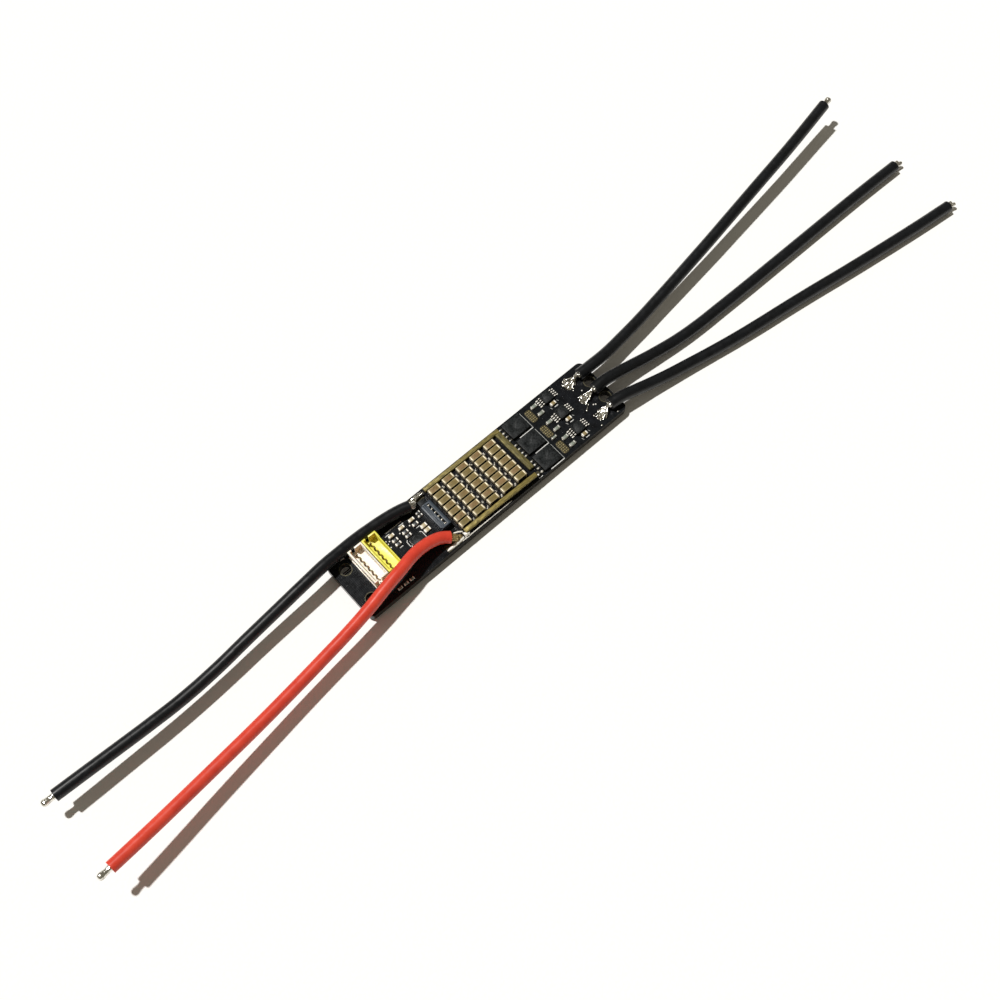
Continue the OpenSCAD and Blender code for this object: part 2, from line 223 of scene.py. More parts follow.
def board_mask(name, tone):
    """Solder mask over glass cloth: nearly black, with the cloth and buried copper showing faintly."""
    s = Surface(name, Specular_IOR_Level=0.14)
    weave = [s.node("TexWave", [("Vector", s.place)], wave_type="BANDS", bands_direction=axis,
                    Scale=0.7 / MM, Distortion=1.0).outputs["Fac"] for axis in "XY"]
    cloth = s.node("Math", [(0, weave[0]), (1, weave[1])], operation="MAXIMUM").outputs[0]
    copper = s.node("TexBrick", [("Vector", s.place)], Scale=0.22 / MM, Mortar_Size=0.03).outputs["Fac"]
    clouds = s.grain(1.6, 4)
    shade = s.ramp(clouds, (0.3, scaled(tone, 0.7)), (0.75, scaled(tone, 1.4)))
    dusty = s.blend(s.spread(s.grain(0.3, 3), 0.0, 0.08), shade, srgb(74, 76, 78))
    layers = s.node("TexWave", [("Vector", s.place)], bands_direction="Z", Scale=1.6 / MM).outputs["Fac"]
    edge = s.ramp(layers, (0.3, srgb(16, 15, 13)), (0.7, srgb(34, 31, 26)))
    s.feed("Base Color", s.blend(s.facing_up(), edge, dusty))
    s.feed("Roughness", s.spread(clouds, 0.17, 0.26))
    return s.bump((cloth, 0.012), (copper, 0.02), (s.grain(0.3, 3), 0.015))


def ceramic():
    """Fired ceramic bodies, each its own tan, olive or pinkish brown, with pale edges painted as highlights
    and upright sides painted near black as shade.
    """
    s = Surface("ceramic_tan", Roughness=0.55, Specular_IOR_Level=0.25)
    own = s.node("NewGeometry").outputs["Random Per Island"]
    base = s.ramp(own, (0.0, srgb(132, 114, 68)), (0.3, srgb(144, 112, 78)),
                  (0.55, srgb(126, 110, 62)), (0.8, srgb(146, 114, 80)), (1.0, srgb(120, 102, 62)))
    streaks = s.spread(s.grain(0.3, 3, (0.45, 1, 1)), 0.0, 0.85)
    mottled = s.blend(streaks, base, srgb(96, 84, 42))
    # Faces leaning away from level get a pale colour: a painted highlight along the bevelled edges.
    painted_edge_highlight = s.ramp(s.lean("Z"), (0.955, (1, 1, 1, 1)), (0.995, (0, 0, 0, 1)))
    top = s.blend(painted_edge_highlight, mottled, s.blend(streaks, srgb(186, 172, 130), srgb(150, 134, 88)))
    # Upright sides are painted near black: painted shade in the gaps between capacitors.
    s.feed("Base Color", s.blend(s.facing_up(), srgb(30, 24, 17), top))
    return s.bump((s.grain(0.1, 3), 0.012), (s.grain(0.8, 2), 0.02))


def tin_plate(name, dark, light, metal):
    """Matt tin, paler where it has wetted."""
    s = Surface(name, Metallic=metal)
    s.feed("Base Color", s.ramp(s.grain(0.25, 3), (0.3, srgb(*dark)), (0.7, srgb(*light))))
    s.feed("Roughness", s.spread(s.grain(0.4, 2), 0.3, 0.5))
    return s.bump((s.grain(0.12, 2), 0.01))


def solder_metal():
    """Bright solder: a mirror-like skin with long flow ripples and duller frosted patches."""
    s = Surface("solder", Metallic=1.0)
    s.feed("Base Color", s.ramp(s.grain(1.2, 3), (0.25, srgb(150, 146, 134)), (0.6, srgb(246, 244, 236))))
    s.feed("Roughness", s.spread(s.grain(0.7, 3), 0.1, 0.3))
    return s.bump((s.grain(0.9, 2, (1, 2.2, 1)), 0.07), (s.grain(0.2, 2), 0.012))


def brushed_brass(name, tone, along=(1, 1, 1)):
    """Dull brass with fine lines along its length and a slight tarnish."""
    s = Surface(name, Metallic=0.3, Specular_IOR_Level=0.3)
    lines = s.grain(0.2, 4, along)
    stain = s.grain(0.9, 3)
    bright = s.ramp(lines, (0.35, scaled(tone, 0.62)), (0.65, scaled(tone, 1.28)))
    s.feed("Base Color", s.blend(s.spread(stain, 0.0, 0.6), bright, scaled(tone, 0.72)))
    s.feed("Roughness", s.spread(stain, 0.42, 0.6))
    return s.bump((lines, 0.02), (s.grain(0.7, 2), 0.02))


def moulding(name, tone, rough=0.38, glow=0.0, shade=(1, 1, 1)):
    """Glossy moulded plastic with a faint flow grain; shade is a painted shade that darkens and browns the
    walls that look along -Y.
    """
    s = Surface(name, Specular_IOR_Level=0.5, Subsurface_Weight=glow, Subsurface_Scale=0.4 * MM)
    s.shader.inputs["Subsurface Radius"].default_value = (1.0, 0.75, 0.45)
    clouds = s.grain(1.4, 3)
    body = s.ramp(clouds, (0.25, scaled(tone, 0.93)), (0.7, srgb(*tone)))
    # Walls that look along -Y get the painted shade tone, browned as if in shade.
    inner = s.node("Math", [(0, s.lean("Y"))], operation="LESS_THAN")
    inner.inputs[1].default_value = -0.5
    painted_shade_tone = srgb(*(c * k for c, k in zip(tone, shade)))
    s.feed("Base Color", s.blend(inner.outputs[0], body, painted_shade_tone))
    s.feed("Roughness", s.spread(s.grain(0.5, 2), rough - 0.06, rough + 0.08))
    return s.bump((s.grain(0.1, 2), 0.006), (clouds, 0.03))


def epoxy():
    """Chip package: dark grey with a fine matt grain, and upright sides painted near black as painted
    shade.
    """
    s = Surface("chip_black", Specular_IOR_Level=0.14)
    tone = s.ramp(s.grain(0.4, 4), (0.38, srgb(12, 14, 15)), (0.62, srgb(40, 43, 44)))
    # Upright sides are painted near black: painted shade.
    s.feed("Base Color", s.blend(s.facing_up(), srgb(10, 10, 10), tone))
    s.feed("Roughness", s.spread(s.grain(0.3, 3), 0.36, 0.56))
    return s.bump((s.grain(0.05, 2), 0.012), (s.grain(0.25, 3), 0.025))


def film(name, tone):
    """Glazed resistor film or plain fired alumina."""
    s = Surface(name, Roughness=0.35)
    s.feed("Base Color", s.ramp(s.grain(0.3, 3), (0.3, scaled(tone, 0.8)), (0.7, srgb(*tone))))
    return s.bump((s.grain(0.15, 2), 0.01))


def ink(name, thin, full):
    """Printed legend lines, broken by the mask's texture."""
    s = Surface(name, Roughness=0.6)
    s.feed("Base Color", s.ramp(s.grain(0.14, 3), (0.36, srgb(*thin)), (0.56, srgb(*full))))
    return s.bump((s.grain(0.08, 2), 0.008))


def silicone(name, tone, dark):
    """Extruded silicone: soft sheen, faint lengthwise drag marks and a little dust."""
    s = Surface(name, Specular_IOR_Level=0.35, Sheen_Weight=0.04, Sheen_Roughness=0.4)
    drag = s.grain(0.35, 3, (0.04, 1, 1))
    tint = s.ramp(s.grain(3.0, 3), (0.3, srgb(*dark)), (0.7, srgb(*tone)))
    dust = s.ramp(s.grain(0.22, 4), (0.66, (0, 0, 0, 1)), (0.74, (1, 1, 1, 1)))
    s.feed("Base Color", s.blend(s.blend(0.94, dust, (0, 0, 0, 1)), tint, srgb(150, 146, 140)))
    s.feed("Roughness", s.spread(s.grain(1.2, 3), 0.26, 0.42))
    return s.bump((drag, 0.03), (s.grain(0.12, 2), 0.006))


def paper_floor():
    """Plain white ground with a barely visible tooth."""
    s = Surface("floor_white", Roughness=0.9, Specular_IOR_Level=0.1)
    dim, full = (0.94, 0.94, 0.94, 1), (0.97, 0.97, 0.97, 1)
    s.feed("Base Color", s.ramp(s.grain(0.8, 3), (0.3, dim), (0.7, full)))
    return s.bump((s.grain(0.5, 3), 0.02))


# ---- mesh helpers ----

def finish_mesh(name, bm, material, replaced=(), shaping=(), smooth_deg=40):
    """Makes a millimetre mesh a piece: applies its shaping modifiers, scales it to metres and rides it."""
    bmesh.ops.recalc_face_normals(bm, faces=bm.faces)
    mesh = bpy.data.meshes.new(name)
    bm.to_mesh(mesh)
    bm.free()
    piece = bpy.data.objects.new(name, mesh)
    bpy.context.scene.collection.objects.link(piece)
    if shaping:
        for kind, settings in shaping:
            modifier = piece.modifiers.new(kind.lower(), kind)
            for key, value in settings.items():
                setattr(modifier, key, value)
        shaped = bpy.data.meshes.new_from_object(
            piece.evaluated_get(bpy.context.evaluated_depsgraph_get()))
        piece.modifiers.clear()
        piece.data = shaped
    piece.data.transform(Matrix.Scale(MM, 4))
    piece.data.polygons.foreach_set("use_smooth", [True] * len(piece.data.polygons))
    piece.data.set_sharp_from_angle(angle=math.radians(smooth_deg))
    materials = material if isinstance(material, (list, tuple)) else [material]
    for one in materials:
        piece.data.materials.append(one)
    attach(piece, BODY)
    if replaced:
        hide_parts(*replaced)
    return piece


def rounded(low, high, r):
    """Outline of a rectangle with round corners."""
    steps = 6
    outline = []
    for quarter, (x, y) in enumerate(((high.x - r, high.y - r), (low.x + r, high.y - r),
                                      (low.x + r, low.y + r), (high.x - r, low.y + r))):
        for k in range(steps + 1):
            angle = math.pi / 2 * (quarter + k / steps)
            outline.append((x + r * math.cos(angle), y + r * math.sin(angle)))
    return outline


def block(bm, low, high, bevel=0.05, segments=2, draft=0.0, material=0, turn=0.0):
    """Box between two corners with rounded edges; draft pulls its top in, turn is degrees about Z."""
    low, high = Vector(low), Vector(high)
    made = bmesh.ops.create_cube(bm, size=1)["verts"]
    size, centre = high - low, (low + high) / 2
    for vert in made:
        pull = 1 - 2 * draft / min(size.x, size.y) if vert.co.z > 0 else 1
        vert.co = Vector((vert.co.x * size.x * pull, vert.co.y * size.y * pull, vert.co.z * size.z))
        vert.co = Matrix.Rotation(math.radians(turn), 3, "Z") @ vert.co + centre
    faces = {face for vert in made for face in vert.link_faces}
    for face in faces:
        face.material_index = material
    if bevel:
        edges = dict.fromkeys(edge for vert in made for edge in vert.link_edges)
        bmesh.ops.bevel(bm, geom=list(edges), offset=min(bevel, 0.45 * min(size)), segments=segments,
                        profile=0.5, affect="EDGES", clamp_overlap=True, material=-1)


def prism(bm, outline, z0, z1, axis="Z"):
    """Outline of (x, y) points extruded along Z, or of (x, z) points extruded along Y."""
    def at(point, depth):
        return (point[0], point[1], depth) if axis == "Z" else (point[0], depth, point[1])
    rings = [[bm.verts.new(at(point, depth)) for point in outline] for depth in (z0, z1)]
    bm.faces.new(rings[0][::-1])
    bm.faces.new(rings[1])
    count = len(outline)
    for i in range(count):
        j = (i + 1) % count
        bm.faces.new((rings[0][i], rings[0][j], rings[1][j], rings[1][i]))


def revolve(bm, centre, profile, sides=20, wobble=0.0):
    """Solid of revolution about Z: profile is (radius, height) from its foot to its top point."""
    rings = []
    for radius, height in profile:
        ring = []
        for k in range(sides):
            angle = 2 * math.pi * k / sides
            c, s = math.cos(angle), math.sin(angle)
            reach = radius * (1 + wobble * noise.noise(Vector((c, s, centre[0] + height))))
            ring.append(bm.verts.new((centre[0] + reach * c, centre[1] + reach * s, centre[2] + height)))
        rings.append(ring)
    bm.faces.new(rings[0][::-1])
    bm.faces.new(rings[-1])
    for below, above in zip(rings, rings[1:]):
        for k in range(sides):
            j = (k + 1) % sides
            bm.faces.new((below[k], below[j], above[j], above[k]))


def dome(bm, x, y, z, radius, height, sides=14):
    """Low round drop of solder."""
    steps = 5
    profile = []
    for i in range(steps + 1):
        angle = math.pi / 2 * i / steps
        profile.append((radius * math.cos(angle * 0.94), height * math.sin(angle)))
    revolve(bm, (x, y, z), profile, sides)


def washer(bm, x, y, z0, z1, outer, inner, sides=24):
    """Flat ring, such as a via's or a hole's copper."""
    rings = []
    angles = [2 * math.pi * k / sides for k in range(sides)]
    for radius, height in ((inner, z0), (outer, z0), (outer, z1), (inner, z1)):
        rings.append([bm.verts.new((x + radius * math.cos(angle), y + radius * math.sin(angle), height))
                      for angle in angles])
    for i in range(4):
        here, there = rings[i], rings[(i + 1) % 4]
        for k in range(sides):
            j = (k + 1) % sides
            bm.faces.new((here[k], here[j], there[j], there[k]))


def ribbon(bm, points, width, z, height):
    """Raised flat line along a route of (x, y) points, mitred at its corners."""
    points = [Vector(point) for point in points]
    sides = ([], [])
    for i, point in enumerate(points):
        before = (point - points[i - 1]).normalized() if i else (points[1] - point).normalized()
        after = (points[i + 1] - point).normalized() if i + 1 < len(points) else before
        mean = (before + after).normalized()
        across = Vector((-mean.y, mean.x)) * (width / 2 / max(0.4, mean.dot(before)))
        sides[0].append(point + across)
        sides[1].append(point - across)
    prism(bm, [tuple(p) for p in sides[1] + sides[0][::-1]], z, z + height)


def swept(bm, points, radii, sides=16, lobes=0, depth=0.0, twist=0.0):
    """Closed tube along 3-D points with a radius at each; lobes and twist make it laid strands."""
    rings, travelled = [], 0.0
    for i, (point, radius) in enumerate(zip(points, radii)):
        ahead = (points[min(i + 1, len(points) - 1)] - points[max(i - 1, 0)]).normalized()
        across = Vector((0, 0, 1)).cross(ahead).normalized()
        up = ahead.cross(across)
        travelled += (point - points[i - 1]).length if i else 0
        ring = []
        for k in range(sides):
            angle = 2 * math.pi * k / sides
            reach = radius
            if lobes:
                reach *= 1 + depth * (abs(math.cos(lobes / 2 * (angle + twist * travelled))) - 0.6)
            ring.append(bm.verts.new(point + reach * (math.cos(angle) * across + math.sin(angle) * up)))
        rings.append(ring)
    bm.faces.new(rings[0])
    bm.faces.new(rings[-1][::-1])
    for here, there in zip(rings, rings[1:]):
        for k in range(sides):
            j = (k + 1) % sides
            bm.faces.new((here[j], here[k], there[k], there[j]))


def bulge(bm, centre, radii, turn=0.0):
    """Ellipsoid, one lump of a solder joint."""
    made = bmesh.ops.create_icosphere(bm, subdivisions=3, radius=1)["verts"]
    spin = Matrix.Rotation(math.radians(turn), 3, "Z")
    for vert in made:
        vert.co = spin @ Vector(c * r for c, r in zip(vert.co, radii)) + Vector(centre)


def melt(name, bm, replaced, voxel=0.08, rounds=4, material=None):
    """Joins overlapping lumps into one skin of solder, softens it and gives it uneven flow."""
    ripple = 0.035
    shaping = [("REMESH", {"mode": "VOXEL", "voxel_size": voxel}),
               ("SMOOTH", {"factor": 0.5, "iterations": rounds})]
    piece = finish_mesh(name, bm, material or SOLDER, replaced, shaping, smooth_deg=180)
    for vert in piece.data.vertices:
        place = vert.co / MM
        push = ripple * noise.noise(place * 1.7) + 0.4 * ripple * noise.noise(place * 4.5)
        vert.co += vert.normal * push * MM
    return piece


def carved(name, bm, cutter, material, replaced, bevel=0.05):
    """A solid with another cut out of it, and its edges rounded."""
    bmesh.ops.recalc_face_normals(cutter, faces=cutter.faces)
    mesh = bpy.data.meshes.new("cutter")
    cutter.to_mesh(mesh)
    cutter.free()
    tool = bpy.data.objects.new("cutter", mesh)
    bpy.context.scene.collection.objects.link(tool)
    shaping = [("BOOLEAN", {"operation": "DIFFERENCE", "solver": "EXACT", "use_self": True,
                            "object": tool}),
               ("BEVEL", {"width": bevel, "segments": 2, "limit_method": "ANGLE",
                          "angle_limit": math.radians(40)})]
    piece = finish_mesh(name, bm, material, replaced, shaping)
    bpy.data.objects.remove(tool)
    bpy.data.meshes.remove(mesh)
    return piece


# ---- leads ----

# Centre line of each lead in millimetres, from its joint to its free end, and the length of its bare tip
ROUTES = {
    "a": ([(38.5, 5.6, 4.5), (43, 5.5, 4.5), (48, 5.6, 4.3), (54, 6.2, 4.1), (61, 7, 4.1), (68, 8, 4.2),
           (75, 9, 4.5), (83, 10.2, 4.9), (91, 11.4, 5.3), (99, 12.7, 5.7), (107, 14, 6.1),
           (115, 15.3, 6.5), (123, 16.6, 6.8), (131, 18, 7.1), (138, 19.3, 7.5), (145, 20.6, 8)], 2.7),
    "b": ([(38.5, 0, 4.5), (42, 0, 4.5), (46, -0.4, 4.1), (50.5, -1, 3.4), (55, -1.7, 2.8),
           (60, -2.4, 2.3), (66, -3.1, 1.9), (73, -3.5, 1.7), (81, -3.6, 1.6), (90, -3.7, 1.6),
           (99.5, -3.7, 1.6), (109, -3.7, 1.6), (119, -3.7, 1.6), (129, -3.7, 1.6), (139, -3.8, 1.6),
           (148.5, -4, 1.6)], 2.5),
    "c": ([(38.5, -5.8, 4.5), (42, -6.2, 4.5), (46.5, -7.1, 3.8), (51, -8, 3), (56, -9, 2.4),
           (62, -10.1, 2), (69, -11.4, 1.7), (77, -12.8, 1.6), (85, -14, 1.6), (94, -15.2, 1.6),
           (103, -16.5, 1.6), (112, -17.9, 1.6), (121, -19.2, 1.6), (130.5, -20.5, 1.6),
           (140, -21.7, 1.6), (149, -22.7, 1.6)], 2.3),
    "positive": ([(-14.9, -6.2, 4.5), (-16.7, -5.1, 5.1), (-18.7, -4.6, 5.8), (-21.2, -4.4, 6.5),
                  (-24.4, -4.6, 7.2), (-30, -5.8, 7.8), (-35.5, -6.8, 7.6), (-41, -7.9, 7.2),
                  (-48, -9, 6.8), (-57, -10.1, 6.5), (-67, -11.3, 6.5), (-78, -12.6, 6.9),
                  (-89, -13.8, 7.6), (-99, -14.9, 8.4), (-110, -16.1, 9.5), (-120.3, -17.1, 10.6)], 3.4),
    "negative": ([(-16.9, 6.6, 4.6), (-19.6, 7.3, 4.7), (-23.6, 7.9, 4.9), (-28, 8.2, 5.2),
                  (-32.5, 8.3, 5.6), (-37.4, 8.1, 6.1), (-42, 7.9, 6.4), (-48, 7.4, 6.4), (-57, 6.7, 6),
                  (-67, 5.9, 5.6), (-77, 5, 5.3), (-87, 4.5, 5.4), (-96, 4.5, 5.9), (-105, 4.7, 6.4),
                  (-113, 4.9, 6.9), (-121, 5.1, 7.3)], 3.3),
}
SPLIT_TIPS = ("b", "c")


def bare_tip(name, route, length):
    """Tinned strands past the insulation, laid round each other and fused at their end."""
    start, ahead = Vector(route[-1]), (Vector(route[-1]) - Vector(route[-2])).normalized()
    side = Vector((0, 0, 1)).cross(ahead).normalized()
    bm = bmesh.new()
    steps = 26
    prongs = (-1, 1) if name in SPLIT_TIPS else (0,)
    for prong in prongs:
        points, radii = [], []
        for i in range(steps + 1):
            share = i / steps
            shift = 0.0 if not prong else prong * (0.3 + 0.12 * share) * CORE_D / 2 * 1.2
            reach = length - 0.25 * length * (prong == 1)
            points.append(start - ahead * 0.3 + ahead * (reach + 0.3) * share + side * shift)
            full = CORE_D / 2 * (0.62 if prong else 1.0)
            waist = 1 - 0.16 * math.sin(math.pi * min(1, share / 0.7)) if share < 0.7 else 1.0
            ends = math.sqrt(max(0.0, 1 - max(0.0, (share - 0.78) / 0.22) ** 2))
            radii.append(max(0.06, full * waist * ends))
        swept(bm, points, radii, 36, 9 if prong else 13, 0.16, 1.1)
    tip = finish_mesh(f"tinned_tip_{name}", bm, SOLDER, [f"tip_{name}"],
                      smooth_deg=180)
    for vert in tip.data.vertices:
        vert.co += vert.normal * 0.04 * noise.noise(vert.co / MM * 2.2) * MM
    return tip


def add_leads():
    """The five silicone leads as cords along their routes, each with its bare tip."""
    for name, (route, tip_length) in ROUTES.items():
        tip = bare_tip(name, route, tip_length)
        curve = bpy.data.curves.new(f"silicone_lead_{name}", "CURVE")
        curve.dimensions = "3D"
        curve.bevel_depth = LEAD_D / 2 * MM
        curve.bevel_resolution = 8
        curve.resolution_u = 10
        curve.use_fill_caps = True
        spline = curve.splines.new("BEZIER")
        spline.bezier_points.add(len(route) - 1)
        for knot, point in zip(spline.bezier_points, route):
            knot.co = Vector(point) * MM
            knot.handle_left_type = knot.handle_right_type = "AUTO"
        lead = bpy.data.objects.new(f"silicone_lead_{name}", curve)
        bpy.context.scene.collection.objects.link(lead)
        colour = "red" if name == "positive" else "black"
        curve.materials.append(SILICONE[colour])
        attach(lead, BODY)
        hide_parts(f"lead_{name}")


# ---- solder joints ----

def strands_into(bm, route, reach, drop, radius=0.85):
    """Bare strands from a lead's end into its joint, sinking by drop over reach."""
    start, back = Vector(route[0]), (Vector(route[0]) - Vector(route[1])).normalized()
    steps = 12
    points = [start + back * (reach * i / steps - 0.3) - Vector((0, 0, drop * (i / steps) ** 2))
              for i in range(steps + 1)]
    radii = [radius * (1.0 + 0.12 * math.sin(math.pi * i / steps)) * (0.75 if i == steps else 1)
             for i in range(steps + 1)]
    swept(bm, points, radii, 40, 10, 0.2, 0.6)


def spike(bm, points, radii):
    """Drawn-out streak of solder along a few points."""
    path = [Vector(point) for point in points]
    fine, thick = [], []
    for a, b, ra, rb in zip(path, path[1:], radii, radii[1:]):
        for i in range(6):
            fine.append(a.lerp(b, i / 6))
            thick.append(ra + (rb - ra) * i / 6)
    swept(bm, fine + [path[-1]], thick + [radii[-1]], 12)


def motor_joint(name, base, apex, ridges, lumps=()):
    """Solder drawn from the end of a motor lead down to its pad.

    base is (x, y, radius) of its low cone, ridges are (foot x, foot y, foot height, sag, radius) and lumps
    are (place, radii, turn).
    """
    bm = bmesh.new()
    x, y, r = base
    cone = [(r, 0), (0.92 * r, 0.15), (0.7 * r, 0.4), (0.45 * r, 0.75), (0.2 * r, 0.9)]
    revolve(bm, (x, y, TOP - 0.02), cone, 32, 0.22)
    strands_into(bm, ROUTES[name][0], 0.9, 0.1, 0.75)
    for foot_x, foot_y, height, sag, radius in ridges:
        top, foot = Vector(apex), Vector((foot_x, foot_y, TOP + height))
        knee = top.lerp(foot, 0.55) - Vector((0, 0, sag))
        spike(bm, [top, knee, foot], (radius * 1.1, radius, radius * 0.75))
    for place, radii, turn in lumps:
        bulge(bm, place, radii, turn)
    melt(f"joint_{name}", bm, [f"solder_{name}"], 0.07, 2)


def add_joints():
    """The three motor joints and the two supply joints."""
    motor_joint("a", (35.2, 5.8, 1.5), (37.5, 5.75, 4.2),
                [(33.9, 5.0, 0.35, 0.1, 0.2), (35.3, 4.5, 0.3, 0.2, 0.2), (36.2, 4.4, 0.2, 0.2, 0.15),
                 (34.4, 7.3, 0.6, -0.3, 0.22), (33.6, 6.1, 0.5, -0.2, 0.2)],
                [((33.75, 6.0, TOP + 0.6), (0.26, 0.8, 0.4), 15),
                 ((34.7, 7.1, TOP + 0.8), (0.8, 0.28, 0.4), 20),
                 ((35.2, 5.7, TOP + 0.9), (0.55, 0.3, 0.5), 40),
                 ((37.6, 5.9, 4.3), (0.5, 0.5, 0.45), 0),
                 ((35.4, 4.15, TOP + 0.1), (0.3, 0.25, 0.25), 0),
                 ((34.9, 3.7, TOP + 0.05), (0.22, 0.2, 0.15), 0)])
    motor_joint("b", (35.0, 0.1, 1.2), (37.9, 0.1, 4.5),
                [(34.2, 1.3, 0.4, -0.1, 0.15), (33.9, 0.5, 0.2, 0.1, 0.2), (33.9, -0.5, 0.15, 0.3, 0.16),
                 (34.5, -1.3, 0.15, 0.3, 0.18), (35.9, -1.2, 0.7, 0.1, 0.26)],
                [((34.9, 0.55, TOP + 1.0), (0.8, 0.55, 0.35), 20),
                 ((37.8, 0.1, 4.55), (0.5, 0.5, 0.45), 0),
                 ((34.9, -1.75, TOP + 0.3), (0.18, 0.5, 0.25), -40),
                 ((33.6, -2.7, TOP + 0.1), (0.22, 0.45, 0.2), -40),
                 ((34.2, -2.25, TOP + 0.1), (0.1, 0.5, 0.14), -45)])
    motor_joint("c", (35.0, -6.2, 1.15), (37.9, -5.75, 4.4),
                [(35.2, -4.7, 0.5, -0.15, 0.14), (34.3, -5.0, 0.2, 0.0, 0.14),
                 (33.9, -5.6, 0.15, 0.1, 0.14), (33.8, -6.3, 0.15, 0.12, 0.14),
                 (34.1, -7.0, 0.15, 0.12, 0.14), (34.7, -7.5, 0.15, 0.1, 0.14),
                 (35.5, -7.7, 0.4, -0.2, 0.2)],
                [((37.85, -5.75, 4.45), (0.45, 0.45, 0.4), 0),
                 ((33.8, -5.1, TOP + 0.35), (0.26, 0.4, 0.25), -30),
                 ((33.5, -8.3, TOP + 0.05), (0.3, 0.25, 0.15), 0)])
    bm = bmesh.new()
    bulge(bm, (-13.5, -7.0, TOP + 0.15), (1.6, 0.85, 0.6), -10)
    strands_into(bm, ROUTES["positive"][0], 1.9, 0.5)
    melt("joint_positive", bm, ["solder_positive"], material=GOLDEN)
    bm = bmesh.new()
    bulge(bm, (-14.55, -7.95, TOP + 0.1), (3.0, 0.5, 0.3), 1)
    spike(bm, [(-13.6, -5.75, 4.05), (-12.4, -6.35, 4.1), (-11.6, -6.95, 4.05)], (0.14, 0.22, 0.18))
    bulge(bm, (-11.4, -7.9, 4.0), (0.6, 0.5, 0.42), -30)
    spike(bm, [(-11.9, -7.2, 4.1), (-11.3, -8.0, 4.15), (-10.6, -8.6, 3.6)], (0.14, 0.32, 0.12))
    spike(bm, [(-12.0, -8.3, 3.5), (-11.2, -8.2, 4.0), (-10.4, -8.15, 4.0)], (0.12, 0.3, 0.12))
    for x, r in ((-11.0, 0.3), (-8.0, 0.26), (-5.0, 0.24), (-1.5, 0.2), (1.0, 0.16)):
        bulge(bm, (x, -8.55, TOP + 0.28), (2.2, 0.16, r))
    melt("joint_positive_edge", bm, [], material=WHITE_TIN)
    bm = bmesh.new()
    bulge(bm, (-13.6, 8.2, TOP + 0.1), (2.0, 0.35, 0.3))
    bulge(bm, (-15.6, 6.9, TOP + 0.4), (1.0, 0.8, 0.8))
    strands_into(bm, ROUTES["negative"][0], 1.6, 0.6)
    spike(bm, [(-14.6, 7.4, 3.5), (-13.2, 7.5, 3.6), (-11.9, 7.4, 3.9)], (0.45, 0.35, 0.25))
    melt("joint_negative", bm, ["solder_negative"])


# ---- capacitor bank ----

def jitter(column, row):
    """Small placing error of one capacitor: shift in x and y, and turn in degrees."""
    pick = random.Random(100 * column + row)
    return Vector((pick.uniform(-0.05, 0.05), pick.uniform(-0.04, 0.04), 0)), pick.uniform(-0.9, 0.9)


def placed_block(bm, box, pivot, shift, turn, **shape):
    """Block turned about a pivot that isn't its own middle."""
    spin = Matrix.Rotation(math.radians(turn), 3, "Z")
    centre, half = middle(box), (box[1] - box[0]) / 2
    moved = pivot + spin @ (centre - pivot) + shift
    block(bm, moved - half, moved + half, turn=turn, **shape)


def fillet(bm, x, y, z, out, width):
    """Concave foot of solder in front of a part's metal end; out is 1 or -1 along X."""
    reach, rise = 0.16, 0.7
    outline = [(x - out * 0.05, z), (x + out * reach, z), (x + out * reach * 0.45, z + rise * 0.18),
               (x + out * reach * 0.15, z + rise * 0.5), (x, z + rise), (x - out * 0.05, z + rise)]
    prism(bm, outline, y - width / 2, y + width / 2, axis="Y")


def add_bank():
    """Thirty-five capacitors in five columns with their metal ends, and the solder between them."""
    feet, beads = bmesh.new(), bmesh.new()
    for column in range(1, 6):
        bodies, ends = bmesh.new(), bmesh.new()
        end_boxes = solids(f"capacitor_ends_{column}")
        for row, box in enumerate(sorted(solids(f"capacitors_{column}"), key=lambda b: b[0].y)):
            shift, turn = jitter(column, row)
            centre = middle(box)
            longer = (box[0] - Vector((0.1, 0, 0)), box[1] + Vector((0.1, 0, 0)))
            placed_block(bodies, longer, centre, shift, turn, bevel=0.15, segments=3)
            for end in end_boxes:
                if abs(middle(end).y - centre.y) < 0.3:
                    placed_block(ends, end, centre, shift, turn, bevel=0.2, segments=3)
                    out = 1 if middle(end).x > centre.x else -1
                    edge = end[1].x if out > 0 else end[0].x
                    fillet(feet, edge + shift.x, centre.y + shift.y, BANK_TOP, out, 1.2)
        finish_mesh(f"ceramic_column_{column}", bodies, CERAMIC, [f"capacitors_{column}"])
        finish_mesh(f"ceramic_ends_{column}", ends, CREAM, [f"capacitor_ends_{column}"])
    # The lane beads are solder, made near-white tin so that their pairs stand in for glints: painted
    # highlights on real solder.
    for box in solids("bank_solder"):
        place = middle(box)
        for shift in (-0.16, 0.2):
            bulge(beads, (place.x + random.uniform(-0.25, 0.25), place.y + shift, BANK_TOP + 0.15),
                  (random.uniform(0.14, 0.3), random.uniform(0.13, 0.27), 0.55), random.uniform(-60, 60))
    finish_mesh("capacitor_feet", feet, DULL_SHADED_SOLDER, [], smooth_deg=60)
    finish_mesh("lane_solder", beads, WHITE_TIN, ["bank_solder"], smooth_deg=60)


def add_bars():
    """Three brass-coloured bars with eased edges."""
    bars = (("negative", BAR_ALONG, 0), ("end", BAR_ACROSS, 0), ("positive", BAR_SUNNY, -0.9))
    for name, material, turn in bars:
        low, high = span(f"bus_bar_{name}")
        if turn:
            middle_y = (low.y + high.y) / 2
            low.y, high.y = middle_y - 0.55, middle_y + 0.55
        bm = bmesh.new()
        block(bm, low, high, bevel=0.12, segments=3, turn=turn)
        finish_mesh(f"bus_bar_{name}_brushed", bm, material, [f"bus_bar_{name}"])


# ---- sockets and header ----

